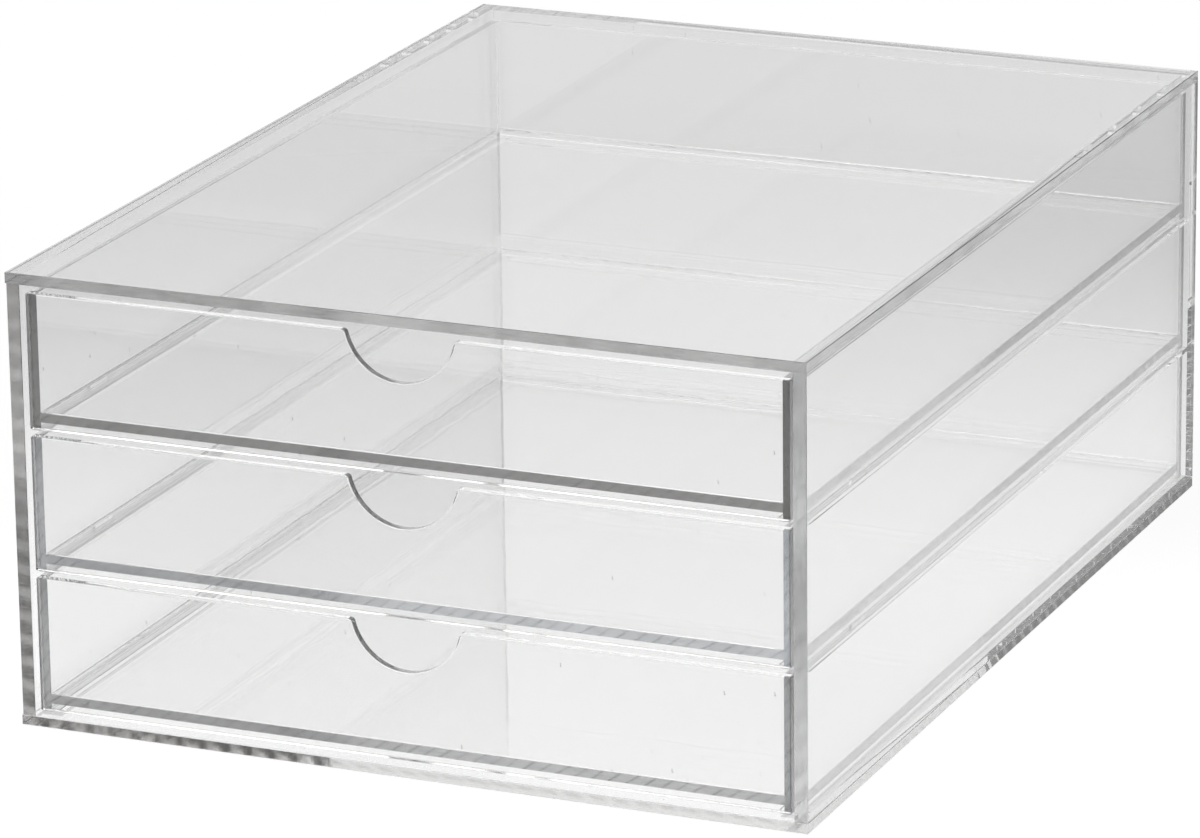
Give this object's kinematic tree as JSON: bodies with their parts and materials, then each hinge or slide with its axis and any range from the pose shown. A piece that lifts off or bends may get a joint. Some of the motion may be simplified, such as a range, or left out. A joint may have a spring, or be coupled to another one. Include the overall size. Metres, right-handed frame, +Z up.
{
  "type": "letter tray stack with drawers",
  "caption": "Clear acrylic desk case, open at the front, holding a stack of pull-out letter trays with finger scoops.",
  "frame": {"origin": "centre of the case's bottom face, on the desk", "axes": "+Z up, +Y from the open front to the back, +X to the right seen from the front"},
  "size_m": [0.255, 0.346, 0.1422],
  "materials": {
    "case_acrylic": "clear colourless cast acrylic sheet, polished faces, faintly rippled saw-cut edges",
    "drawer_acrylic": "clear colourless cast acrylic sheet, polished faces, faintly rippled saw-cut edges"
  },
  "bodies": {
    "case": {"case_bottom": "case_acrylic", "case_top": "case_acrylic", "case_side_left": "case_acrylic", "case_side_right": "case_acrylic", "case_back": "case_acrylic", "rail_bottom_left": "case_acrylic", "rail_bottom_right": "case_acrylic", "rail_middle_left": "case_acrylic", "rail_middle_right": "case_acrylic", "rail_top_left": "case_acrylic", "rail_top_right": "case_acrylic", "guide_pad_middle_left": "case_acrylic", "guide_pad_middle_right": "case_acrylic", "guide_pad_top_left": "case_acrylic", "guide_pad_top_right": "case_acrylic"},
    "drawer_bottom": {"drawer_bottom_front": "drawer_acrylic", "drawer_bottom_back": "drawer_acrylic", "drawer_bottom_side_left": "drawer_acrylic", "drawer_bottom_side_right": "drawer_acrylic", "drawer_bottom_floor": "drawer_acrylic"},
    "drawer_middle": {"drawer_middle_front": "drawer_acrylic", "drawer_middle_back": "drawer_acrylic", "drawer_middle_side_left": "drawer_acrylic", "drawer_middle_side_right": "drawer_acrylic", "drawer_middle_floor": "drawer_acrylic"},
    "drawer_top": {"drawer_top_front": "drawer_acrylic", "drawer_top_back": "drawer_acrylic", "drawer_top_side_left": "drawer_acrylic", "drawer_top_side_right": "drawer_acrylic", "drawer_top_floor": "drawer_acrylic"}
  },
  "joints": [
    {"name": "drawer_top_slide", "type": "slide", "parent": "case", "child": "drawer_top", "axis": [0, -1, 0], "range_m": [0, 0.28]},
    {"name": "drawer_middle_slide", "type": "slide", "parent": "case", "child": "drawer_middle", "axis": [0, -1, 0], "range_m": [0, 0.28]},
    {"name": "drawer_bottom_slide", "type": "slide", "parent": "case", "child": "drawer_bottom", "axis": [0, -1, 0], "range_m": [0, 0.28]}
  ]
}
